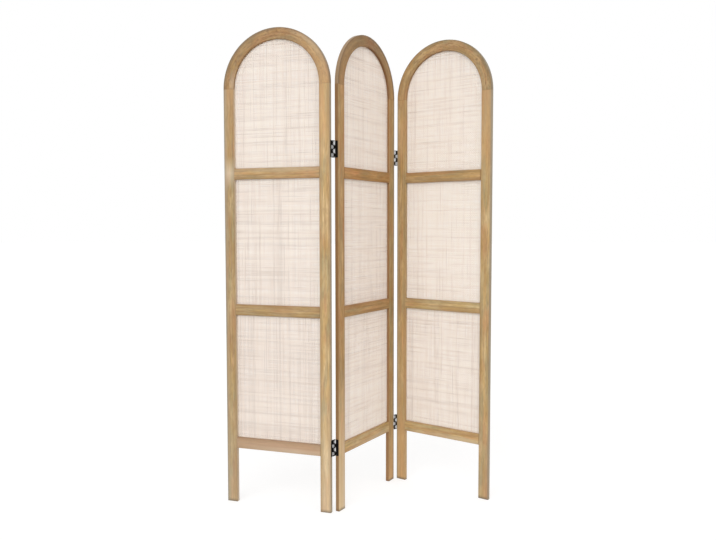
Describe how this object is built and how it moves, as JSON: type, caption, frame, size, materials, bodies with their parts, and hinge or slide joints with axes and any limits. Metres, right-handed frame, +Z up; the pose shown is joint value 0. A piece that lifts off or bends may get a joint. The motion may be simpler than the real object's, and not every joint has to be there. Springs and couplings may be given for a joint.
{
  "type": "folding room divider",
  "caption": "Folding room divider of arched wooden frames filled with pale woven rattan webbing, standing zigzag on its stile feet, its panels joined by slim black metal hinges.",
  "frame": {"origin": "on the floor, under the middle of the standing screen's bounding box", "axes": "+Z up, +X to the right along the zigzag, +Y from the viewed side to the far side"},
  "size_m": [0.966, 0.3781, 1.7],
  "materials": {
    "frame_wood": "satin honey-brown hardwood",
    "woven_rattan": "pale natural woven rattan strands",
    "bead_wood": "satin honey-brown hardwood strip",
    "dowel_wood": "bare beech",
    "hinge_black": "satin black",
    "pin_steel": "dark steel",
    "screw_steel": "blackened steel"
  },
  "bodies": {
    "middle_panel": {"lower_left_hinge_middle_leaf": "hinge_black", "lower_right_hinge_middle_leaf": "hinge_black", "middle_panel_bottom_webbing": "woven_rattan", "middle_panel_dowels": "dowel_wood", "middle_panel_hinge_screws": "screw_steel", "middle_panel_left_arch": "frame_wood", "middle_panel_left_stile": "frame_wood", "middle_panel_lower_rail": "frame_wood", "middle_panel_middle_rail": "frame_wood", "middle_panel_middle_webbing": "woven_rattan", "middle_panel_retaining_beads": "bead_wood", "middle_panel_right_arch": "frame_wood", "middle_panel_right_stile": "frame_wood", "middle_panel_top_webbing": "woven_rattan", "middle_panel_upper_rail": "frame_wood", "upper_left_hinge_middle_leaf": "hinge_black", "upper_right_hinge_middle_leaf": "hinge_black"},
    "left_hinge_links": {"lower_left_hinge_links": "hinge_black", "lower_left_hinge_pins": "pin_steel", "upper_left_hinge_links": "hinge_black", "upper_left_hinge_pins": "pin_steel"},
    "left_panel": {"left_panel_bottom_webbing": "woven_rattan", "left_panel_dowels": "dowel_wood", "left_panel_hinge_screws": "screw_steel", "left_panel_left_arch": "frame_wood", "left_panel_left_stile": "frame_wood", "left_panel_lower_rail": "frame_wood", "left_panel_middle_rail": "frame_wood", "left_panel_middle_webbing": "woven_rattan", "left_panel_retaining_beads": "bead_wood", "left_panel_right_arch": "frame_wood", "left_panel_right_stile": "frame_wood", "left_panel_top_webbing": "woven_rattan", "left_panel_upper_rail": "frame_wood", "lower_left_hinge_side_leaf": "hinge_black", "upper_left_hinge_side_leaf": "hinge_black"},
    "right_hinge_links": {"lower_right_hinge_links": "hinge_black", "lower_right_hinge_pins": "pin_steel", "upper_right_hinge_links": "hinge_black", "upper_right_hinge_pins": "pin_steel"},
    "right_panel": {"lower_right_hinge_side_leaf": "hinge_black", "right_panel_bottom_webbing": "woven_rattan", "right_panel_dowels": "dowel_wood", "right_panel_hinge_screws": "screw_steel", "right_panel_left_arch": "frame_wood", "right_panel_left_stile": "frame_wood", "right_panel_lower_rail": "frame_wood", "right_panel_middle_rail": "frame_wood", "right_panel_middle_webbing": "woven_rattan", "right_panel_retaining_beads": "bead_wood", "right_panel_right_arch": "frame_wood", "right_panel_right_stile": "frame_wood", "right_panel_top_webbing": "woven_rattan", "right_panel_upper_rail": "frame_wood", "upper_right_hinge_side_leaf": "hinge_black"}
  },
  "joints": [
    {"name": "left_link_swing", "type": "hinge", "parent": "middle_panel", "child": "left_hinge_links", "pos_m": [-0.08548, -0.16925, 0], "axis": [0, 0, -1], "range_deg": [-25, 80]},
    {"name": "left_panel_swing", "type": "hinge", "parent": "left_hinge_links", "child": "left_panel", "pos_m": [-0.09075, -0.17527, 0], "axis": [0, 0, -1], "range_deg": [-81.9, 23.1]},
    {"name": "right_link_swing", "type": "hinge", "parent": "middle_panel", "child": "right_hinge_links", "pos_m": [0.14197, 0.1735, 0], "axis": [0, 0, -1], "range_deg": [-32, 73]},
    {"name": "right_panel_swing", "type": "hinge", "parent": "right_hinge_links", "child": "right_panel", "pos_m": [0.14793, 0.17883, 0], "axis": [0, 0, -1], "range_deg": [-93.7, 11.3]}
  ]
}
